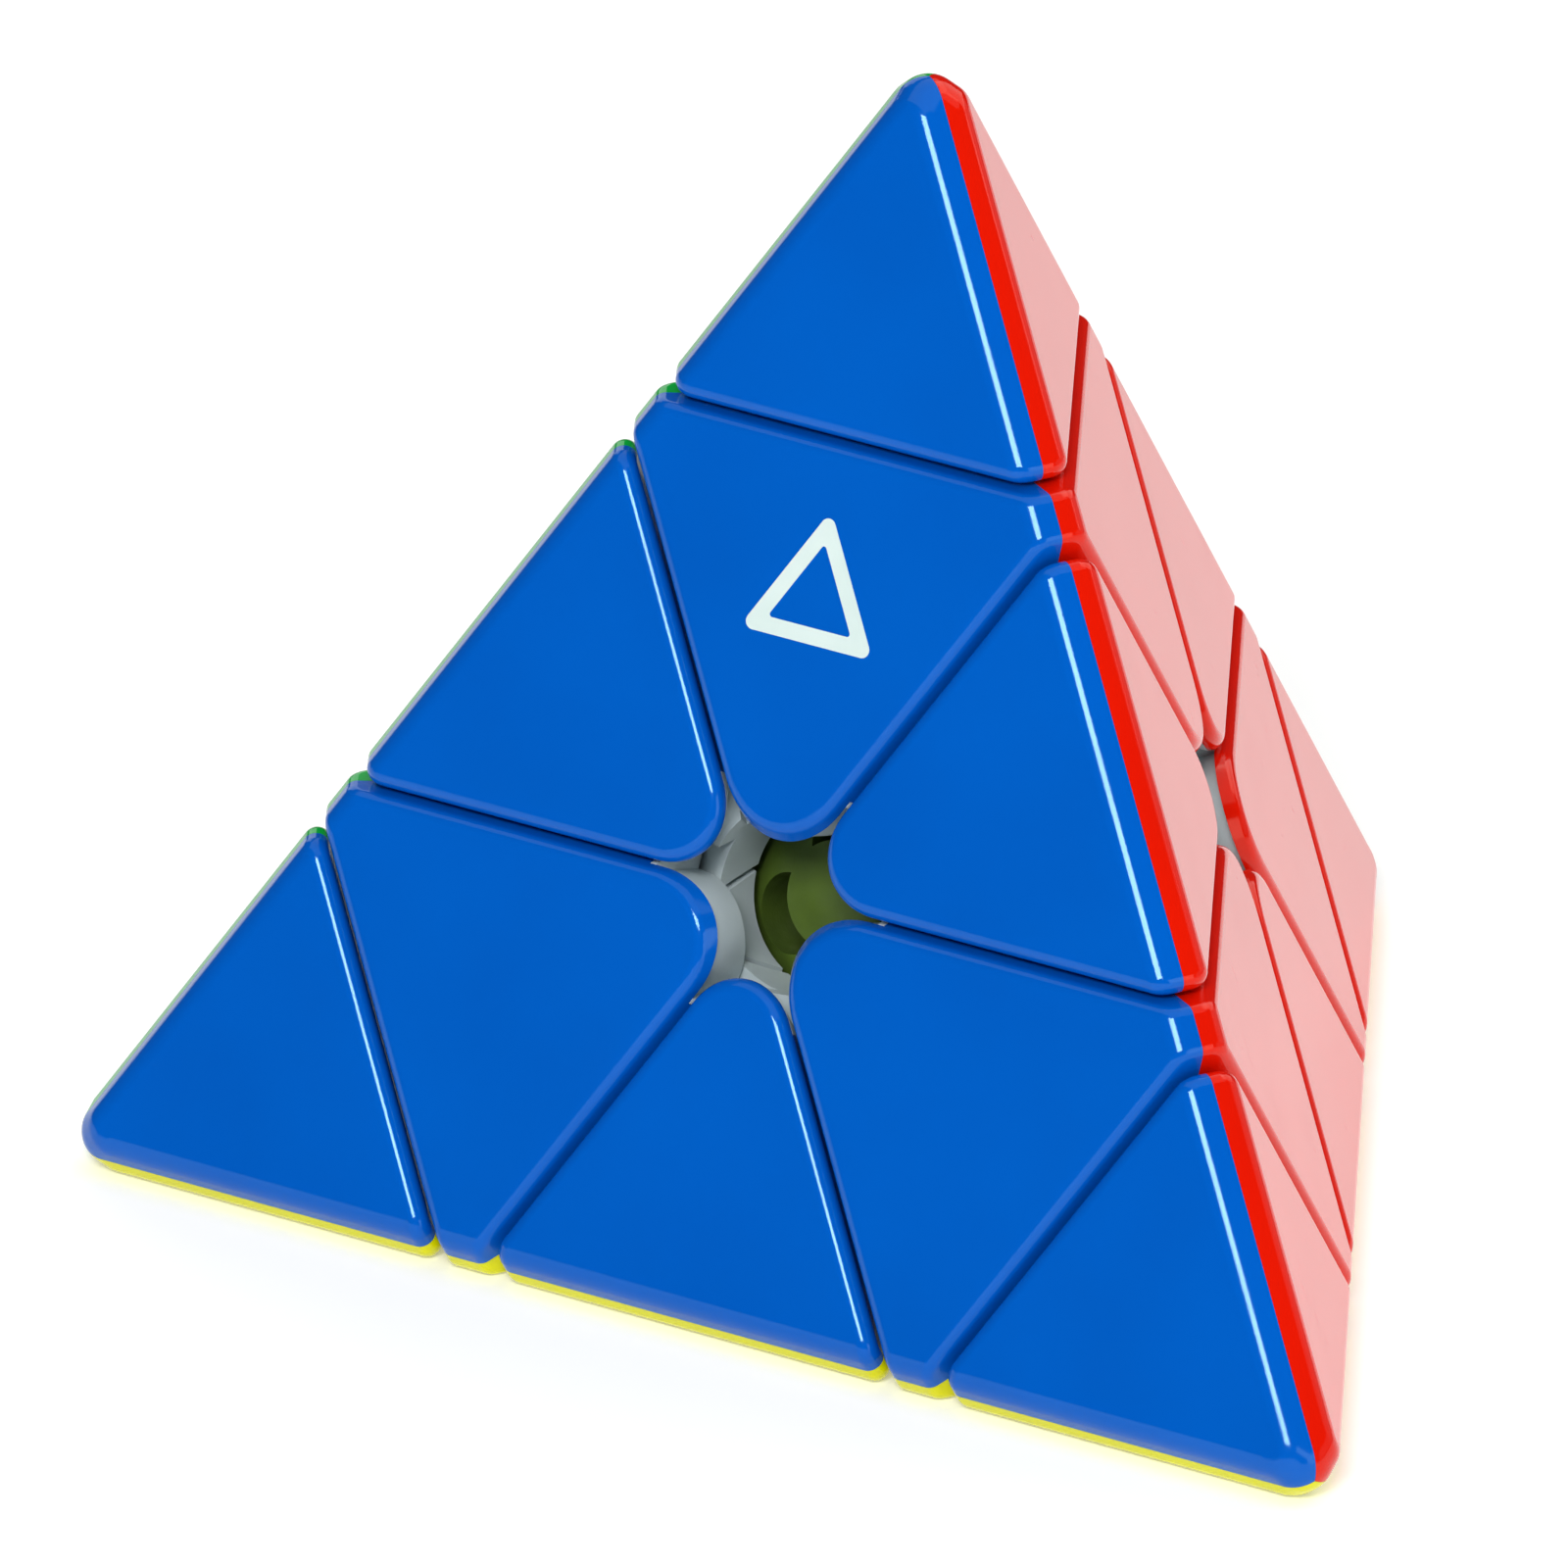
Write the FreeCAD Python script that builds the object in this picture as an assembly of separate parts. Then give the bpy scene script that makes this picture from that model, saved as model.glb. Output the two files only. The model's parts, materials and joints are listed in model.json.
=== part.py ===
import FreeCAD, Part
import math
import os

# Pyramid twisty puzzle, in millimetres. The origin is the middle of the core,
# where the four turning axes meet. +Z runs up one axis to the top tip.

# Overall form
SHARP_EDGE = 104.0  # edge of the tetrahedron before its edges are bevelled
BEVEL_DEPTH = 2.31  # each bevel, measured in from the sharp edge
BEVEL_ROUND = 1.7  # rounding between a bevel and its faces
TIP_ROUND = 2.3  # rounding where three bevels meet at a tip
BORDER_ROUND = 0.9  # rounding round each piece's border
PIECE_GAP = 0.34  # straight gap between neighbouring pieces

# Where the cuts lie, measured along an axis from the core's middle
LAYER_CUT = 7.2
TIP_CUT = 35.38
CENTRE_NOSE_ROUND = 5.2  # centre piece's corner at each face's middle hole
EDGE_NOSE_ROUND = 4.3  # edge piece's corner at each face's middle hole
CENTRE_WALL_ROUND = 4.15  # the same corner on the hole's straight wall below the rim

# Coloured shells on the white frames
SHELL_WALL = 1.7
SKIRT_WALL = 1.3
SKIRT_DEPTH = 5.0
NOSE_RIM = 1.1  # depth of the coloured rim at the middle hole
NOSE_ZONE = 9.0  # radius about a face's middle where the rim is that shallow
FIT = 0.05  # clearance between a shell and its frame
PARTING = 0.01  # half of the hairline between two shells on a bevel

# Mechanism under the faces
INNER_CUT = 4.0
INNER_GAP = 0.25
FOOT_INSIDE = 12.5
FOOT_OUTSIDE = 16.5
BODY_INSIDE = 16.8
FLOOR_OVER_FEET = 19.0
NECK_OUTSIDE = 18.0
NECK_INSET = 0.15
FACE_WELL = 6.3
WELL_TOP = 18.3
HOLE_WALL_ZONE = 8.5
FRAME_WALL = 3.0
WINDOW = 4.0

# Core, hubs and tensioning hardware
CORE_BALL = 11.6
CORE_POCKET = 2.7
CORE_POCKET_OFFSET = 3.9
CORE_POCKET_FLOOR = 5.0
ARM_RADIUS = 2.4
ARM_END = 26.0
ARM_BORE = 1.3
ARM_BORE_FLOOR = 14.0
HUB_BORE = 2.48
HUB_COLLAR = 5.4
COLLAR_START = 12.1
HUB_CAVITY = 5.0
HUB_WALL = 1.8
HUB_FLOOR = 15.3
SPRING_COIL = 3.55
SPRING_WIRE = 0.36
SPRING_TURNS = 5.5
NUT_START = 23.4
NUT_END = 26.2
NUT_RADIUS = 4.4
NUT_BORE = 2.5
SCREW_HEAD = 3.2
SCREW_HEAD_END = 27.9
SCREW_SHANK = 1.22
SCREW_TIP = 14.6

# Tip's snap-in stem
NECK_FLOOR = 31.2
NECK_BORE = 4.0
STEM_RADIUS = 3.92
STEM_END = 29.2
BEAD_RADIUS = 4.4
BEAD_TOP = 30.8

os.makedirs("parts", exist_ok=True)

V = FreeCAD.Vector
INRADIUS = SHARP_EDGE / (2 * math.sqrt(6))
BEVEL_PLANE = SHARP_EDGE / (2 * math.sqrt(2)) - BEVEL_DEPTH
HALF_GAP = PIECE_GAP / 2
CORNERS = ("top", "left", "right", "back")
COLOURS = {"back": "blue", "left": "red", "right": "green", "top": "yellow"}


def direction(azimuth):
    """Unit vector from the core to one of the three lower corners."""
    level = math.sqrt(8) / 3
    angle = math.radians(azimuth)
    return V(level * math.cos(angle), level * math.sin(angle), -1.0 / 3)


AXES = {
    "top": V(0, 0, 1),
    "left": direction(210),
    "right": direction(330),
    "back": direction(90),
}


def bevel_normal(one, other):
    """Unit vector from the core to the middle of the edge between two corners."""
    total = AXES[one] + AXES[other]
    return total / total.Length


def clipped(polygon, normal, limit):
    """The part of a flat polygon where normal . p <= limit."""
    kept = []
    for i, here in enumerate(polygon):
        there = polygon[(i + 1) % len(polygon)]
        a = normal.dot(here) - limit
        b = normal.dot(there) - limit
        if a <= 0:
            kept.append(here)
        if (a < 0 < b) or (b < 0 < a):
            kept.append(here + (there - here) * (a / (a - b)))
    return kept


def polyhedron(planes):
    """Solid bounded by (outward normal, distance from the origin) planes."""
    faces = []
    for i, (normal, limit) in enumerate(planes):
        side = normal.cross(V(0.36, 0.48, 0.8))
        side = side / side.Length
        up = normal.cross(side)
        middle = normal * limit
        polygon = [
            middle + side * 300 + up * 300,
            middle - side * 300 + up * 300,
            middle - side * 300 - up * 300,
            middle + side * 300 - up * 300,
        ]
        for j, (other, other_limit) in enumerate(planes):
            if j != i and len(polygon) > 2:
                polygon = clipped(polygon, other, other_limit)
        points = []
        for p in polygon:
            if not points or (p - points[-1]).Length > 1e-6:
                points.append(p)
        while len(points) > 1 and (points[0] - points[-1]).Length < 1e-6:
            points.pop()
        if len(points) > 2:
            faces.append(Part.Face(Part.makePolygon(points + points[:1])))
    shell = Part.Shell(faces)
    shell.sewShape()
    solid = Part.Solid(Part.Shell(shell.Faces))
    if solid.Volume < 0:
        solid.reverse()
    return solid


def above(corner, distance):
    """Half-space further than distance along a corner's axis."""
    return (AXES[corner] * -1, -distance)


def below(corner, distance):
    """Half-space nearer than distance along a corner's axis."""
    return (AXES[corner], distance)


def outer_planes(inset):
    """The four faces and six bevels, moved in by inset."""
    planes = [(AXES[c] * -1, INRADIUS - inset) for c in CORNERS]
    for i, one in enumerate(CORNERS):
        for other in CORNERS[i + 1 :]:
            planes.append((bevel_normal(one, other), BEVEL_PLANE - inset))
    return planes


def edge_middle(edge):
    """A point half-way along an edge."""
    return edge.valueAt((edge.FirstParameter + edge.LastParameter) / 2)


def rounded_where(solid, radius, wanted):
    """Round every edge for which wanted(edge) holds."""
    edges = [e for e in solid.Edges if wanted(e)]
    return solid.makeFillet(radius, edges)


def cylinder(radius, start, end, axis):
    """Cylinder about an axis through the origin."""
    return Part.makeCylinder(radius, end - start, axis * start, axis)


def ball(radius):
    return Part.makeSphere(radius)


def outer_body():
    """The whole puzzle's outside: a tetrahedron with rounded bevels."""
    solid = polyhedron(outer_planes(0))
    solid = solid.makeFillet(TIP_ROUND, [e for e in solid.Edges if e.Length < 10])

    def on_face(edge):
        p = edge_middle(edge)
        return any(abs(AXES[c].dot(p) + INRADIUS) < 1e-5 for c in CORNERS)

    return solid.makeFillet(BEVEL_ROUND, [e for e in solid.Edges if on_face(e)])


def lies_on(point, faces):
    """Whether a point lies on any of the faces."""
    vertex = Part.Vertex(point)
    return any(vertex.distToShape(f)[0] < 1e-4 for f in faces)


def border_rounded(solid, wedge):
    """Round the border where the outer surface meets the cut surfaces."""
    chosen = []
    for edge in solid.Edges:
        point = edge_middle(edge)
        if lies_on(point, wedge.Faces) and lies_on(point, BODY.Faces):
            chosen.append(edge)
    return solid.makeFillet(BORDER_ROUND, chosen)


def depth_zone(faces, depth):
    """Everything deeper than depth under each of the named faces."""
    planes = [(AXES[f] * -1, INRADIUS - depth) for f in faces]
    for c in CORNERS:
        planes.append((AXES[c], 90))
    return polyhedron(planes)


def nose_zone(face, fit):
    """Round zone about a face's middle, below the shallow coloured rim."""
    axis = AXES[face] * -1
    return cylinder(NOSE_ZONE - fit, BODY_INSIDE - 4, INRADIUS - NOSE_RIM - fit, axis)


def along_face(corner, face):
    """Unit vector towards a corner, lying in a face."""
    axis = AXES[face] * -1
    flat = AXES[corner] - axis * AXES[corner].dot(axis)
    return flat / flat.Length


def hole_cutter(face, corners, side):
    """What to take off a centre's frame so that the middle hole's wall runs straight in.

    corners name the two cuts that meet at the hole and side is their distance from the
    core's middle.
    """
    axis = AXES[face] * -1
    level = (side - INRADIUS / 3) / (math.sqrt(8) / 3)
    walls = [(along_face(c, face), level) for c in corners]
    away = (walls[0][0] + walls[1][0]) * -1
    planes = walls + [(away / away.Length, 60), (axis, 40), (axis * -1, -5)]
    wedge = polyhedron(planes)

    def upright(edge):
        p = edge_middle(edge)
        return all(abs(n.dot(p) - d) < 1e-4 for n, d in walls)

    wedge = rounded_where(wedge, CENTRE_WALL_ROUND, upright)
    return cylinder(HOLE_WALL_ZONE, 9, INRADIUS - NOSE_RIM, axis).cut(wedge)


def colour_wedge(face):
    """The space nearer to one face than to the others."""
    planes = [(AXES[face] * -1, 90)]
    for c in CORNERS:
        if c != face:
            step = AXES[face] - AXES[c]
            planes.append((step / step.Length, -PARTING))
    return polyhedron(planes)


def shells(piece, faces, zone):
    """The coloured shell for each face of a piece."""
    skin = piece.cut(zone)
    made = {}
    for face in faces:
        made[face] = skin.common(colour_wedge(face))
    return made


def placed(shape, one, other):
    """Copy turned so that top goes to corner one and left goes to corner other."""

    def axes(a, b):
        x = AXES[a]
        z = x.cross(AXES[b])
        z = z / z.Length
        return x, z.cross(x), z

    home = axes("top", "left")
    away = axes(one, other)
    rows = []
    for i in range(3):
        for j in range(3):
            rows.append(sum(away[k][i] * home[k][j] for k in range(3)))
        rows.append(0.0)
    rows += [0.0, 0.0, 0.0, 1.0]
    copy = shape.copy()
    copy.transformShape(FreeCAD.Matrix(*rows), True)
    return copy


def moved_corner(corner, one, other):
    """Where a corner goes under the turn that placed() makes."""
    home = placed(Part.Vertex(AXES[corner] * 30), one, other).Point / 30
    return min(CORNERS, key=lambda c: (AXES[c] - home).Length)


def centre_piece():
    """Top centre piece: its outside solid, frame and shells."""
    lower = ("left", "right", "back")
    side = LAYER_CUT - HALF_GAP
    wedge = polyhedron(
        [below(c, side) for c in lower] + [above("top", 2), below("top", 60)]
    )

    def upright(edge):
        p = edge_middle(edge)
        return sum(abs(AXES[c].dot(p) - side) < 1e-4 for c in lower) == 2

    wedge = rounded_where(wedge, CENTRE_NOSE_ROUND, upright)
    tip_side = TIP_CUT - HALF_GAP
    under_tip = polyhedron([below("top", tip_side), above("top", -60)] + [below(c, 90) for c in lower])
    wedge = wedge.common(under_tip)
    piece = border_rounded(BODY.common(wedge), wedge)
    layer = polyhedron([above("top", LAYER_CUT + HALF_GAP)] + [below(c, 90) for c in CORNERS])
    piece = piece.common(layer)
    piece = piece.cut(ball(BODY_INSIDE))

    def zone(fit):
        inset = polyhedron(
            outer_planes(SHELL_WALL + fit)
            + [below(c, side - SKIRT_WALL - fit) for c in lower]
            + [below("top", tip_side - SKIRT_WALL - fit), above("top", 5)]
        )
        whole = depth_zone(lower, SKIRT_DEPTH + fit).fuse(inset)
        for face in lower:
            whole = whole.fuse(nose_zone(face, fit))
        return whole

    made = shells(piece, lower, zone(0))
    frame = piece.common(zone(FIT))

    hollow = polyhedron(
        outer_planes(SHELL_WALL + FRAME_WALL)
        + [below(c, side - FRAME_WALL) for c in lower]
        + [below("top", NECK_FLOOR - 0.6), above("top", LAYER_CUT + FRAME_WALL)]
    )
    for face in lower:
        hollow = hollow.fuse(Part.makeCylinder(WINDOW, 20, V(0, 0, 22), AXES[face] * -1))
    hollow = hollow.cut(ball(FLOOR_OVER_FEET))
    hollow = hollow.cut(cylinder(HUB_CAVITY + HUB_WALL, 5, 45, AXES["top"]))
    frame = frame.cut(hollow)

    for face in lower:
        cuts = [c for c in lower if c != face]
        frame = frame.cut(hole_cutter(face, cuts, side))

    inner = INNER_CUT - INNER_GAP
    flange = polyhedron(
        [above("top", INNER_CUT + INNER_GAP), below("top", 24)] + [below(c, inner) for c in lower]
    ).common(ball(FOOT_OUTSIDE))
    neck_start = LAYER_CUT + HALF_GAP + NECK_INSET
    neck = polyhedron(
        [above("top", neck_start), below("top", 24)] + [below(c, inner) for c in lower]
    ).common(ball(NECK_OUTSIDE))
    hub = flange.fuse(neck).cut(ball(FOOT_INSIDE))
    for face in lower:
        hub = hub.cut(cylinder(FACE_WELL, 2, WELL_TOP, AXES[face] * -1))
    hub = hub.fuse(cylinder(HUB_COLLAR, COLLAR_START, FOOT_INSIDE + 1, AXES["top"]))
    frame = frame.fuse(hub)
    frame = frame.cut(cylinder(HUB_BORE, 0, 20, AXES["top"]))
    frame = frame.cut(cylinder(HUB_CAVITY, HUB_FLOOR, NECK_FLOOR, AXES["top"]))
    frame = frame.cut(cylinder(NECK_BORE, 20, 50, AXES["top"]))
    return frame, made


def edge_piece():
    """Upper left edge piece: its frame and shells."""
    pair = ("top", "left")
    others = ("right", "back")
    side = LAYER_CUT + HALF_GAP
    wedge = polyhedron([above(c, side) for c in pair] + [below(c, 40) for c in others])

    def ridge(edge):
        p = edge_middle(edge)
        return all(abs(AXES[c].dot(p) - side) < 1e-4 for c in pair)

    wedge = rounded_where(wedge, EDGE_NOSE_ROUND, ridge)
    piece = border_rounded(BODY.common(wedge), wedge)
    piece = piece.cut(ball(BODY_INSIDE))

    def zone(fit):
        inset = polyhedron(
            outer_planes(SHELL_WALL + fit) + [above(c, side + SKIRT_WALL + fit) for c in pair]
        )
        whole = depth_zone(others, SKIRT_DEPTH + fit).fuse(inset)
        for face in others:
            whole = whole.fuse(nose_zone(face, fit))
        return whole

    made = shells(piece, others, zone(0))
    frame = piece.common(zone(FIT))

    hollow = polyhedron(
        outer_planes(SHELL_WALL + FRAME_WALL) + [above(c, side + FRAME_WALL) for c in pair]
    )
    middle = bevel_normal(*pair) * 26
    for face in others:
        hollow = hollow.fuse(Part.makeCylinder(2.5, 20, middle, AXES[face] * -1))
    hollow = hollow.cut(ball(FLOOR_OVER_FEET))
    frame = frame.cut(hollow)

    inner = INNER_CUT - INNER_GAP
    foot = polyhedron(
        [above(c, INNER_CUT + INNER_GAP) for c in pair] + [below(c, inner) for c in others]
    ).common(ball(FOOT_OUTSIDE))
    neck = polyhedron(
        [above(c, side + NECK_INSET) for c in pair] + [below(c, inner) for c in others]
    ).common(ball(NECK_OUTSIDE))
    foot = foot.fuse(neck).cut(ball(FOOT_INSIDE))
    for face in others:
        foot = foot.cut(cylinder(FACE_WELL, 2, WELL_TOP, AXES[face] * -1))
    return frame.fuse(foot), made


def tip_piece():
    """Top tip: its frame with the snap-in stem, and its shells."""
    lower = ("left", "right", "back")
    start = TIP_CUT + HALF_GAP
    wedge = polyhedron([above("top", start)] + [below(c, 90) for c in CORNERS])
    piece = border_rounded(BODY.common(wedge), wedge)

    def zone(fit):
        return polyhedron(outer_planes(SHELL_WALL + fit) + [above("top", start - 5)])

    made = shells(piece, lower, zone(0))
    frame = piece.common(zone(FIT))
    hollow = polyhedron(outer_planes(SHELL_WALL + FRAME_WALL - 0.8) + [above("top", start + 2.2)])
    for face in lower:
        base = AXES["top"] * (start + 6)
        hollow = hollow.fuse(Part.makeCylinder(2.2, 12, base, AXES[face] * -1))
    frame = frame.cut(hollow)
    frame = frame.fuse(cylinder(STEM_RADIUS, STEM_END, start + 1, AXES["top"]))
    bead = cylinder(BEAD_RADIUS, STEM_END, BEAD_TOP, AXES["top"])
    bead = bead.makeFillet(0.5, [e for e in bead.Edges if e.Length > 10 and e.isClosed()])
    frame = frame.fuse(bead)
    return frame.cut(cylinder(2.2, STEM_END - 1, start + 3, AXES["top"])), made


def core():
    """Ball with four arms, bored for the tension screws, and lightening pockets under each face."""
    solid = ball(CORE_BALL)
    for c in CORNERS:
        solid = solid.fuse(cylinder(ARM_RADIUS, 2, ARM_END, AXES[c]))
    for c in CORNERS:
        solid = solid.cut(cylinder(ARM_BORE, ARM_BORE_FLOOR, ARM_END + 1, AXES[c]))
    for face in CORNERS:
        axis = AXES[face] * -1
        for c in CORNERS:
            if c != face:
                base = axis * CORE_POCKET_FLOOR + along_face(c, face) * CORE_POCKET_OFFSET
                solid = solid.cut(Part.makeCylinder(CORE_POCKET, 6, base, axis))
    return solid


def screw():
    """Tension screw on the top axis, with a cross recess."""
    up = AXES["top"]
    head = cylinder(SCREW_HEAD, NUT_END, SCREW_HEAD_END, up)
    rim = [e for e in head.Edges if e.isClosed() and e.Length > 5 and edge_middle(e).z > 27]
    head = head.makeFillet(0.5, rim)
    solid = head.fuse(cylinder(SCREW_SHANK, SCREW_TIP, NUT_END + 0.5, up))
    slot = Part.makeBox(3.6, 0.8, 1.0, V(-1.8, -0.4, SCREW_HEAD_END - 0.9))
    cross = Part.makeBox(0.8, 3.6, 1.0, V(-0.4, -1.8, SCREW_HEAD_END - 0.9))
    return solid.cut(slot).cut(cross)


def nut():
    """Tension nut that bears on the spring, with grip notches."""
    up = AXES["top"]
    solid = cylinder(NUT_RADIUS, NUT_START, NUT_END, up)
    solid = solid.cut(cylinder(NUT_BORE, NUT_START - 1, NUT_END + 1, up))
    for i in range(8):
        angle = math.radians(45 * i)
        reach = NUT_RADIUS + 0.3
        spot = V(reach * math.cos(angle), reach * math.sin(angle), NUT_START + 0.8)
        solid = solid.cut(Part.makeCylinder(0.7, 5, spot))
    return solid


def spring():
    """Compression spring round the top arm."""
    start = HUB_FLOOR + 0.3 + SPRING_WIRE
    height = NUT_START - 0.02 - SPRING_WIRE - start
    path = Part.makeHelix(height / SPRING_TURNS, height, SPRING_COIL)
    ring = Part.makeCircle(SPRING_WIRE, V(SPRING_COIL, 0, 0), V(0, 1, 0))
    wire = Part.Wire([ring])
    solid = Part.Wire(path.Edges).makePipeShell([wire], True, True)
    solid.translate(V(0, 0, start))
    return solid


BODY = outer_body()


def export(name, shape):
    """Write one node."""
    shape.exportStep("parts/" + name + ".step")


def one_solid(shape):
    """The largest solid in a boolean result, without the crumbs that cutting leaves."""
    return max(shape.removeSplitter().Solids, key=lambda solid: solid.Volume)


export("core", one_solid(core()))
NEXT = {"top": "left", "left": "top", "right": "back", "back": "right"}
for name, maker in (("axis_screws", screw), ("tension_nuts", nut), ("tension_springs", spring)):
    part = one_solid(maker())
    export(name, Part.makeCompound([placed(part, c, NEXT[c]) for c in CORNERS]))

for kind, maker in (("centre", centre_piece), ("tip", tip_piece)):
    frame, made = maker()
    frame = one_solid(frame)
    for c in CORNERS:
        export(kind + "_" + c + "_frame", placed(frame, c, NEXT[c]))
        for face, shape in made.items():
            colour = COLOURS[moved_corner(face, c, NEXT[c])]
            export(kind + "_" + c + "_" + colour, placed(one_solid(shape), c, NEXT[c]))

frame, made = edge_piece()
frame = one_solid(frame)
for i, one in enumerate(CORNERS):
    for other in CORNERS[i + 1 :]:
        export("edge_" + one + "_" + other + "_frame", placed(frame, one, other))
        for face, shape in made.items():
            colour = COLOURS[moved_corner(face, one, other)]
            export("edge_" + one + "_" + other + "_" + colour, placed(one_solid(shape), one, other))
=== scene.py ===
"""Pyramid twisty puzzle: materials, printed mark, floor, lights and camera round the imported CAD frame."""

import json
import math

import bmesh
import bpy
from mathutils import Matrix, Vector


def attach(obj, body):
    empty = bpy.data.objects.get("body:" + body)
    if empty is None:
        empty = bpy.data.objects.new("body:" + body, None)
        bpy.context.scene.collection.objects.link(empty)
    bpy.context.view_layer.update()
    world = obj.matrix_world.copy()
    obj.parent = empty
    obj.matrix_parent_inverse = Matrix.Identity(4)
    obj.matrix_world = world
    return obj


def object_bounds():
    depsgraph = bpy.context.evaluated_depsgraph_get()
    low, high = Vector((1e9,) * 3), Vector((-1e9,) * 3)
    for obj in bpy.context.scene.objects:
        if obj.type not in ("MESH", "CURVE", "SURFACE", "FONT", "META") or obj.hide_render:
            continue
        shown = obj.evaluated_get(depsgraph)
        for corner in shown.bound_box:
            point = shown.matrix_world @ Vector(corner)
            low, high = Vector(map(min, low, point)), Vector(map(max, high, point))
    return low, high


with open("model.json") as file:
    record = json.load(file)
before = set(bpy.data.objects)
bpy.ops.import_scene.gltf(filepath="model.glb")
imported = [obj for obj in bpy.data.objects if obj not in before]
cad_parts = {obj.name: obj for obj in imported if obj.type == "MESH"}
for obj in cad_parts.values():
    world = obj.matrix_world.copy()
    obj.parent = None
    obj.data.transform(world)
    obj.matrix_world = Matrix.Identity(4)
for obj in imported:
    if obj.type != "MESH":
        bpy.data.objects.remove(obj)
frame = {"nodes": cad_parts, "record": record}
CAD_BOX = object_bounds()

MM = 0.001
WHITE = (1, 1, 1, 1)

# ---------------------------------------------------------------- materials


def srgb(r, g, b):
    """Linear colour from 0-255 screen values."""

    def linear(v):
        v = v / 255
        return v / 12.92 if v <= 0.04045 else ((v + 0.055) / 1.055) ** 2.4

    return (linear(r), linear(g), linear(b), 1.0)


class Nodes:
    """Short calls for building one material's node tree."""

    def __init__(self, name):
        self.material = bpy.data.materials.new(name)
        self.material.use_nodes = True
        self.tree = self.material.node_tree
        self.shader = self.tree.nodes["Principled BSDF"]
        self.object = self.add("ShaderNodeTexCoord").outputs["Object"]

    def add(self, kind, **values):
        node = self.tree.nodes.new(kind)
        for key, value in values.items():
            setattr(node, key, value)
        return node

    def link(self, out, into):
        self.tree.links.new(out, into)

    def set_shader(self, **values):
        """Sets the shader's own sockets. An underscore stands for the space in a socket's name."""
        for key, value in values.items():
            self.shader.inputs[key.replace("_", " ")].default_value = value

    def noise(self, scale, detail=3.0, rough=0.5, stretch=None, turn=None):
        """Noise over the object's own coordinates, in metres. Gives its 0-1 output."""
        where = self.object
        if stretch:
            mapping = self.add("ShaderNodeMapping")
            mapping.inputs["Scale"].default_value = stretch
            mapping.inputs["Rotation"].default_value = turn or (0, 0, 0)
            self.link(where, mapping.inputs["Vector"])
            where = mapping.outputs["Vector"]
        node = self.add("ShaderNodeTexNoise")
        node.inputs["Scale"].default_value = scale
        node.inputs["Detail"].default_value = detail
        node.inputs["Roughness"].default_value = rough
        self.link(where, node.inputs["Vector"])
        return node.outputs["Fac"]

    def span(self, value, low, high, to_low=0.0, to_high=1.0):
        """Maps low..high to to_low..to_high, clamped."""
        node = self.add("ShaderNodeMapRange")
        for socket, number in zip(("From Min", "From Max", "To Min", "To Max"), (low, high, to_low, to_high)):
            node.inputs[socket].default_value = number
        self.link(value, node.inputs["Value"])
        return node.outputs["Result"]

    def maths(self, operation, a, b):
        node = self.add("ShaderNodeMath", operation=operation)
        for i, value in enumerate((a, b)):
            if isinstance(value, (int, float)):
                node.inputs[i].default_value = value
            else:
                self.link(value, node.inputs[i])
        return node.outputs[0]

    def blend(self, factor, a, b):
        """Colour a where factor is 0 and b where it is 1."""
        node = self.add("ShaderNodeMix", data_type="RGBA")
        self.link(factor, node.inputs["Factor"])
        first, second = (socket for socket in node.inputs if socket.type == "RGBA")
        first.default_value = a
        second.default_value = b
        return next(socket for socket in node.outputs if socket.type == "RGBA")

    def bump(self, height, distance, strength=1.0):
        node = self.add("ShaderNodeBump")
        node.inputs["Distance"].default_value = distance
        node.inputs["Strength"].default_value = strength
        self.link(height, node.inputs["Height"])
        self.link(node.outputs["Normal"], self.shader.inputs["Normal"])


# Noise scales are waves per metre. A ramp is the low and high noise value that become 0 and 1.
SHADE_SCALE = 70
SHADE_RAMP = (0.3, 0.7)
SCRATCH_SCALE = 260
SCRATCH_ALONG = {"stretch": (1, 14, 1), "turn": (0.3, 0.5, 0.9)}
SCRATCH_ALONG_RAMP = (0.72, 0.78)
SCRATCH_ACROSS = {"stretch": (12, 1, 1.5), "turn": (1.1, 0.2, 0.4)}
SCRATCH_ACROSS_RAMP = (0.73, 0.79)
SMUDGE_SCALE = 140
SMUDGE_RAMP = (0.45, 0.75)
WAVE_SCALE = 90
GRAIN_SCALE = 3500
POLISHED_ROUGHNESS = 0.09
SCRATCH_ROUGHNESS = 0.08  # this and the next are added where there is a scratch or a smudge
SMUDGE_ROUGHNESS = 0.07
WAVE_HEIGHT = 0.2  # heights are shares of GLOSS_RELIEF
GRAIN_HEIGHT = 0.003
SCRATCH_DEPTH = 0.012
GLOSS_RELIEF = 0.06 * MM


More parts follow.
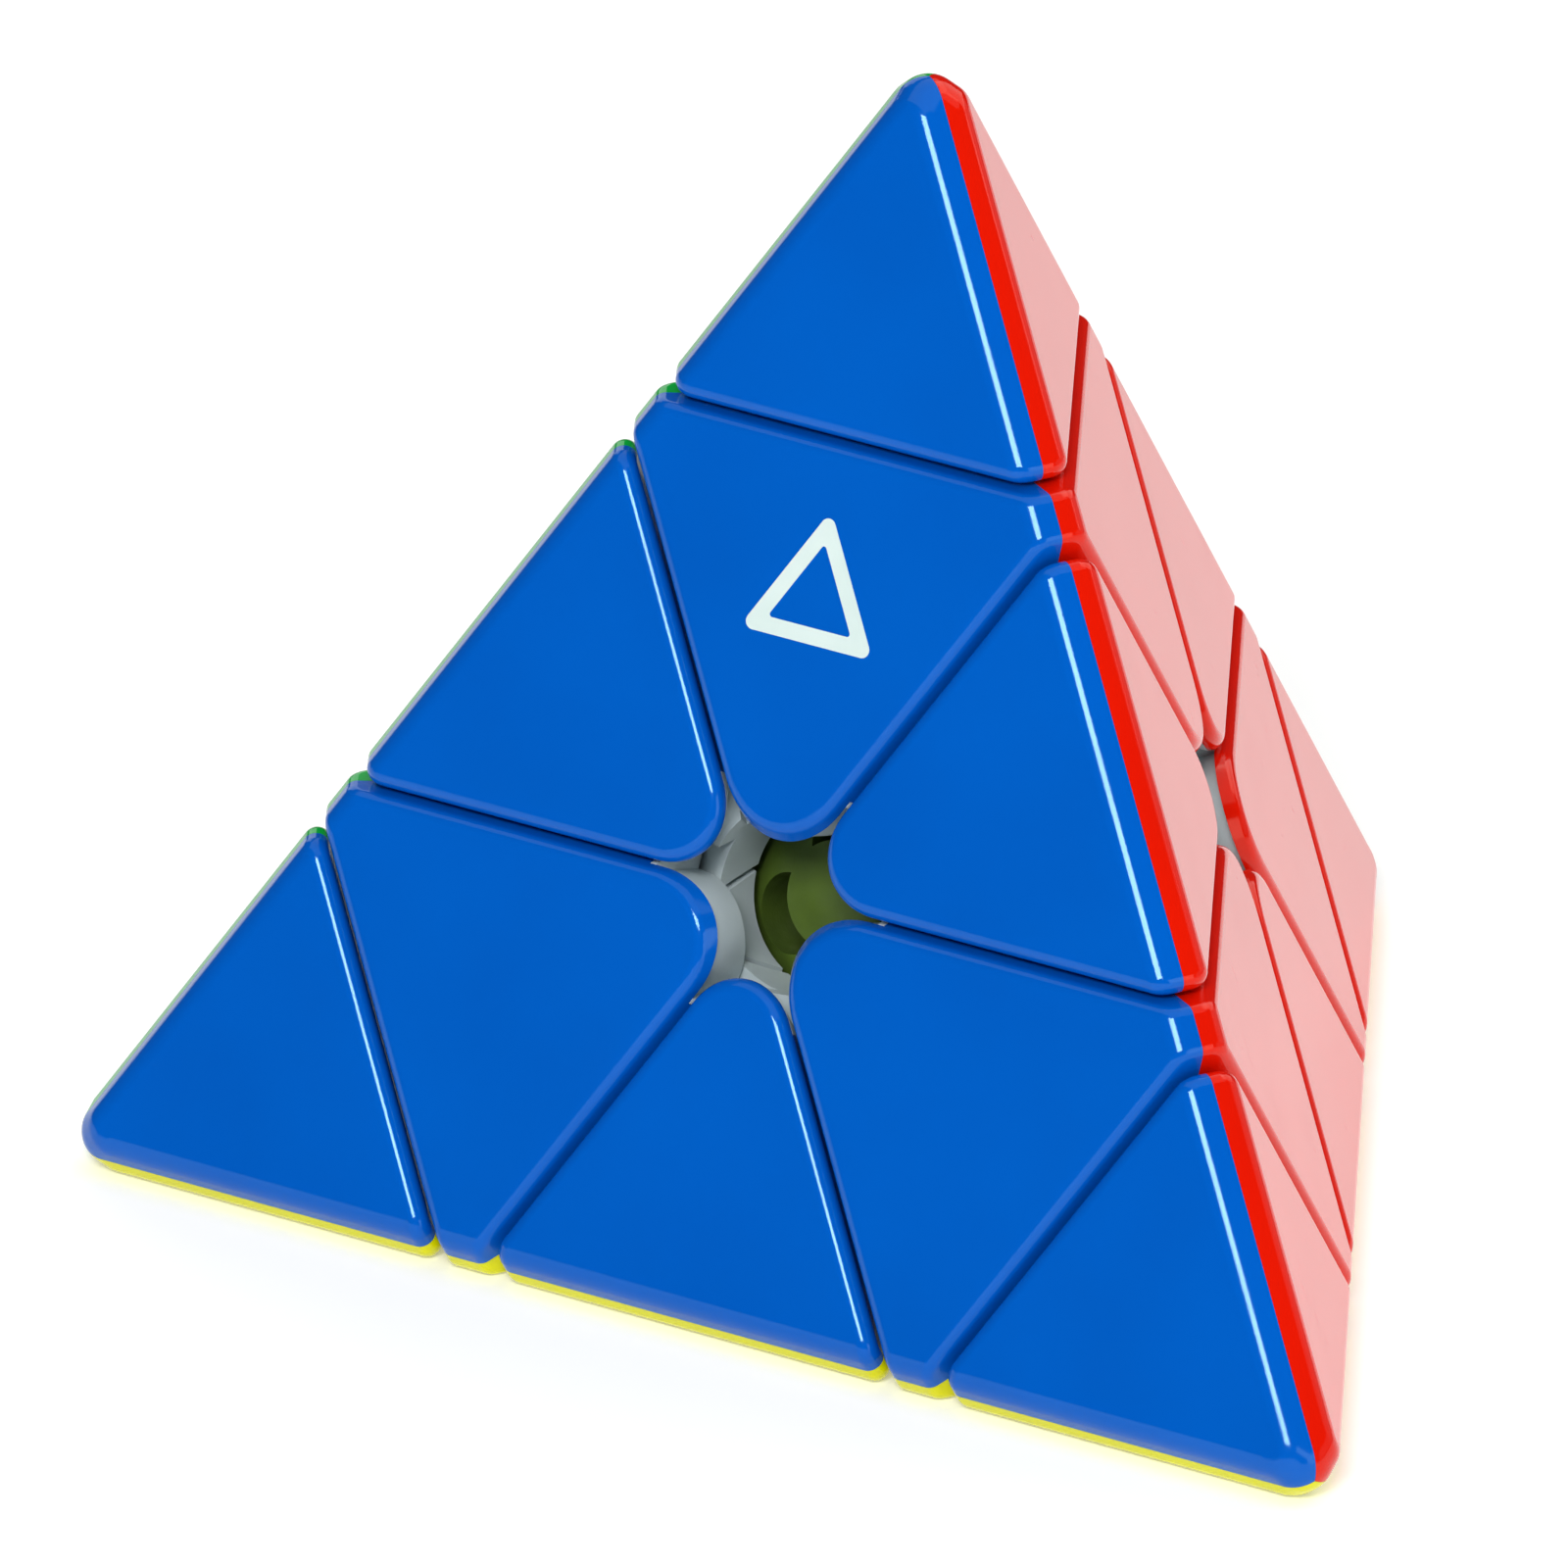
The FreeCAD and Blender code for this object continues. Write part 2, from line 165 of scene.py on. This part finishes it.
def gloss_plastic(name, colour, shade, glint, ior):
    """Polished moulded ABS: slow thickness shading, faint flow waves and hairline scratches."""
    n = Nodes(name)
    slow = n.span(n.noise(SHADE_SCALE, detail=2.0), *SHADE_RAMP)
    n.link(n.blend(slow, colour, shade), n.shader.inputs["Base Color"])

    along = n.span(n.noise(SCRATCH_SCALE, detail=2.0, rough=0.6, **SCRATCH_ALONG), *SCRATCH_ALONG_RAMP)
    across = n.span(n.noise(SCRATCH_SCALE, detail=2.0, rough=0.6, **SCRATCH_ACROSS), *SCRATCH_ACROSS_RAMP)
    lines = n.maths("MAXIMUM", along, across)
    smudge = n.span(n.noise(SMUDGE_SCALE, detail=4.0, rough=0.62), *SMUDGE_RAMP, to_high=SMUDGE_ROUGHNESS)
    rough = n.maths("ADD", n.maths("MULTIPLY", lines, SCRATCH_ROUGHNESS), smudge)
    n.link(n.maths("ADD", rough, POLISHED_ROUGHNESS), n.shader.inputs["Roughness"])

    waves = n.maths("MULTIPLY", n.noise(WAVE_SCALE, detail=1.0), WAVE_HEIGHT)
    grain = n.maths("MULTIPLY", n.noise(GRAIN_SCALE, detail=2.0), GRAIN_HEIGHT)
    scratches = n.maths("MULTIPLY", lines, SCRATCH_DEPTH)
    n.bump(n.maths("SUBTRACT", n.maths("ADD", waves, grain), scratches), GLOSS_RELIEF)
    n.set_shader(IOR=ior, Specular_Tint=glint)
    return n.material


MOTTLE_SCALE = 220
MOTTLE_RAMP = (0.35, 0.7)
SATIN_SCALE = 900
SATIN_RAMP = (0.3, 0.7)
SMOOTHER = 0.06  # how far the roughness goes below and above its mean
ROUGHER = 0.08
SPARK_SCALE = 4200
SPARK_RELIEF = 0.02 * MM
PLASTIC_IOR = 1.5


def satin_plastic(name, colour, shade, roughness):
    """Unpolished moulded plastic: spark-eroded grain and slight mottling."""
    n = Nodes(name)
    mottle = n.span(n.noise(MOTTLE_SCALE, detail=4.0), *MOTTLE_RAMP)
    n.link(n.blend(mottle, colour, shade), n.shader.inputs["Base Color"])
    rough = n.span(n.noise(SATIN_SCALE), *SATIN_RAMP, roughness - SMOOTHER, roughness + ROUGHER)
    n.link(rough, n.shader.inputs["Roughness"])
    n.bump(n.noise(SPARK_SCALE, rough=0.7), SPARK_RELIEF, strength=0.7)
    n.set_shader(IOR=PLASTIC_IOR)
    return n.material


DRAWN_SCALE = 1500
DRAWN_RAMP = (0.3, 0.7)
DRAWN_SMOOTHER = 0.08
DRAWN_ROUGHER = 0.1
DRAWN_RELIEF = 0.01 * MM
DRAWN_DARK = 0.7  # brightness of the lines' darker side


def metal(name, colour, roughness, stretch):
    """Drawn or plated steel with fine lines along one direction."""
    n = Nodes(name)
    lines = n.noise(DRAWN_SCALE, rough=0.6, stretch=stretch)
    dark = tuple(part * DRAWN_DARK for part in colour[:3]) + (1.0,)
    n.link(n.blend(lines, colour, dark), n.shader.inputs["Base Color"])
    rough = n.span(lines, *DRAWN_RAMP, roughness - DRAWN_SMOOTHER, roughness + DRAWN_ROUGHER)
    n.link(rough, n.shader.inputs["Roughness"])
    n.bump(lines, DRAWN_RELIEF, strength=0.6)
    n.set_shader(Metallic=1.0)
    return n.material


# A glint is the colour of a gloss plastic's reflections.
BLUE_ABS = {
    "colour": srgb(0, 89, 187),
    "shade": srgb(0, 85, 181),
    "glint": (0.5, 0.86, 1.0, 1),
    "ior": 1.42,
}
RED_ABS = {
    "colour": srgb(216, 22, 2),
    "shade": srgb(209, 19, 2),
    "glint": (1.0, 0.4, 0.3, 1),
    "ior": 1.6,
}
GREEN_ABS = {
    "colour": srgb(0, 168, 62),
    "shade": srgb(0, 160, 58),
    "glint": (0.3, 1.0, 0.7, 1),
    "ior": 1.42,
}
YELLOW_ABS = {
    "colour": srgb(224, 222, 0),
    "shade": srgb(216, 214, 0),
    "glint": (1.0, 1.0, 0.4, 1),
    "ior": 1.42,
}

FINISHES = {
    "blue_plastic": gloss_plastic("blue_abs", **BLUE_ABS),
    "red_plastic": gloss_plastic("red_abs", **RED_ABS),
    "green_plastic": gloss_plastic("green_abs", **GREEN_ABS),
    "yellow_plastic": gloss_plastic("yellow_abs", **YELLOW_ABS),
    "frame_plastic": satin_plastic("frame_abs", srgb(206, 218, 221), srgb(194, 207, 211), roughness=0.42),
    "core_plastic": satin_plastic("core_nylon", srgb(92, 116, 42), srgb(76, 98, 36), roughness=0.38),
    "nut_plastic": satin_plastic("nut_pom", srgb(40, 92, 168), srgb(34, 82, 152), roughness=0.4),
    "screw_steel": metal("zinc_steel", srgb(200, 200, 196), roughness=0.32, stretch=(1, 1, 12)),
    "spring_steel": metal("drawn_wire", srgb(186, 186, 188), roughness=0.28, stretch=(6, 6, 1)),
}

slot_of = {s["node"]: s["material_slot"] for s in frame["record"]["subparts"]}
for node, obj in frame["nodes"].items():
    obj.data.materials.clear()
    obj.data.materials.append(FINISHES[slot_of[node]])

# ---------------------------------------------------------------- printed mark

FACE_LEAN = math.asin(1 / 3)  # a tetrahedron's side face leans this far back from upright
MARK_LIFT = 20.0 * MM  # mark's middle above the blue face's middle
MARK_INSIDE = 1.85 * MM  # side distances and corner roundings of the two outlines
MARK_INSIDE_ROUND = 0.2 * MM
MARK_OUTSIDE = 2.95 * MM
MARK_OUTSIDE_ROUND = 0.55 * MM
MARK_HEIGHT = 0.03 * MM
MARK_SUNK = 0.01 * MM
CORNERS = (90, 210, 330)  # degrees from the middle to each corner
HALF_ARC = 60  # degrees of rounding on each side of a corner
ARC_STEPS = 8


def rounded_triangle(side_distance, rounding):
    """Flat points of a triangle that stands on one side, with rounded corners."""
    points = []
    reach = 2 * (side_distance - rounding)
    for corner in CORNERS:
        middle = math.radians(corner)
        for step in range(ARC_STEPS + 1):
            turn = middle + math.radians(-HALF_ARC + 2 * HALF_ARC * step / ARC_STEPS)
            x = reach * math.cos(middle) + rounding * math.cos(turn)
            y = reach * math.sin(middle) + rounding * math.sin(turn)
            points.append((x, y))
    return points


def printed_triangle():
    """Thin raised print on the top centre's blue face: a plain open triangle."""
    outward = Vector((0, -math.cos(FACE_LEAN), math.sin(FACE_LEAN)))
    across = Vector((1, 0, 0))
    upward = outward.cross(across)
    blue = frame["nodes"]["centre_top_blue"]
    level = max((blue.matrix_world @ v.co).dot(outward) for v in blue.data.vertices)
    mesh = bmesh.new()
    rings = []
    for lift in (-MARK_SUNK, MARK_HEIGHT):
        for size, rounding in ((MARK_INSIDE, MARK_INSIDE_ROUND), (MARK_OUTSIDE, MARK_OUTSIDE_ROUND)):
            ring = []
            for x, y in rounded_triangle(size, rounding):
                spot = outward * (level + lift) + across * x + upward * (MARK_LIFT + y)
                ring.append(mesh.verts.new(spot))
            rings.append(ring)
    low_in, low_out, high_in, high_out = rings
    count = len(low_in)
    for one, other in ((low_out, high_out), (high_out, high_in), (high_in, low_in), (low_in, low_out)):
        for i in range(count):
            j = (i + 1) % count
            mesh.faces.new((one[i], one[j], other[j], other[i]))
    bmesh.ops.recalc_face_normals(mesh, faces=mesh.faces)
    data = bpy.data.meshes.new("face_mark")
    mesh.to_mesh(data)
    mesh.free()
    mark = bpy.data.objects.new("face_mark", data)
    bpy.context.scene.collection.objects.link(mark)
    ink = satin_plastic("print_ink", srgb(214, 230, 226), srgb(204, 222, 218), roughness=0.35)
    mark.data.materials.append(ink)
    return mark


mark = printed_triangle()
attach(mark, "centre_top")

# ---------------------------------------------------------------- floor and lights

WORLD_LIGHT = 0.04
WARM = (1.0, 0.98, 0.94)
FLOOR_SIZE = 8.0
FLOOR_DROP = 0.02 * MM
FLOOR_SCALE = 6
FLOOR_GLOW = 0.25  # keeps the floor near the photograph's plain white

pale = Nodes("pale_floor")
pale.link(
    pale.blend(pale.noise(FLOOR_SCALE), (0.90, 0.90, 0.90, 1), (0.88, 0.88, 0.88, 1)),
    pale.shader.inputs["Base Color"],
)
pale.set_shader(Roughness=0.9, Emission_Color=WHITE, Emission_Strength=FLOOR_GLOW, Specular_IOR_Level=0.1)

bpy.ops.mesh.primitive_plane_add(size=FLOOR_SIZE, location=(0, 0, CAD_BOX[0][2] - FLOOR_DROP))
floor = bpy.context.object
floor.name = "floor"
floor.data.materials.append(pale.material)


def softbox(name, direction, distance, width, height, power, colour=(1, 1, 1)):
    """Area light that faces the core's middle from a direction. Metres and watts."""
    data = bpy.data.lights.new(name, "AREA")
    data.shape = "RECTANGLE"
    data.size = width
    data.size_y = height
    data.energy = power
    data.color = colour
    light = bpy.data.objects.new(name, data)
    bpy.context.scene.collection.objects.link(light)
    away = Vector(direction).normalized()
    light.location = away * distance
    light.rotation_euler = away.to_track_quat("Z", "Y").to_euler()


softbox("key", (0.305, -0.737, 0.605), distance=1.3, width=0.46, height=0.28, power=11.8)
softbox("overhead", (0.05, 0.12, 1.0), distance=2.2, width=3.6, height=3.6, power=34)
softbox("right_fill", (0.95, -0.25, 0.22), distance=1.6, width=0.8, height=0.8, power=4.2)
softbox("back_fill", (0.35, 0.85, 0.75), distance=1.8, width=1.4, height=1.4, power=8.5, colour=WARM)
softbox("backdrop", (0.75, 0.65, 0.22), distance=2.2, width=2.6, height=0.8, power=3)
softbox("left_back_fill", (-0.75, 0.6, 0.4), distance=1.8, width=1.0, height=1.0, power=4)

world = bpy.data.worlds.new("studio")
world.use_nodes = True
background = world.node_tree.nodes["Background"]
background.inputs["Color"].default_value = WHITE
background.inputs["Strength"].default_value = WORLD_LIGHT
bpy.context.scene.world = world
bpy.context.scene.view_settings.view_transform = "Standard"

# ---------------------------------------------------------------- camera

AZIMUTH = math.radians(32.10)  # camera's turn to the right of -Y
ELEVATION = math.radians(24.37)
ROLL = math.radians(0.52)
DISTANCE = 2.528
AIM_RIGHT = -8.90 * MM  # where the optical axis passes the core's middle
AIM_UP = 7.06 * MM
LENS = 889.5
SENSOR = 36.0

level = Vector((math.sin(AZIMUTH), -math.cos(AZIMUTH), 0))
away = level * math.cos(ELEVATION) + Vector((0, 0, math.sin(ELEVATION)))
right = Matrix.Rotation(ROLL, 3, away) @ Vector((0, 0, 1)).cross(away).normalized()
up = away.cross(right)
spot = away * DISTANCE + right * AIM_RIGHT + up * AIM_UP
camera = bpy.data.objects.new("camera", bpy.data.cameras.new("camera"))
camera.data.lens = LENS
camera.data.sensor_width = SENSOR
camera.data.clip_start = 0.1
camera.data.clip_end = 50
camera.matrix_world = Matrix.Translation(spot) @ Matrix((right, up, away)).transposed().to_4x4()
bpy.context.scene.collection.objects.link(camera)
bpy.context.scene.camera = camera
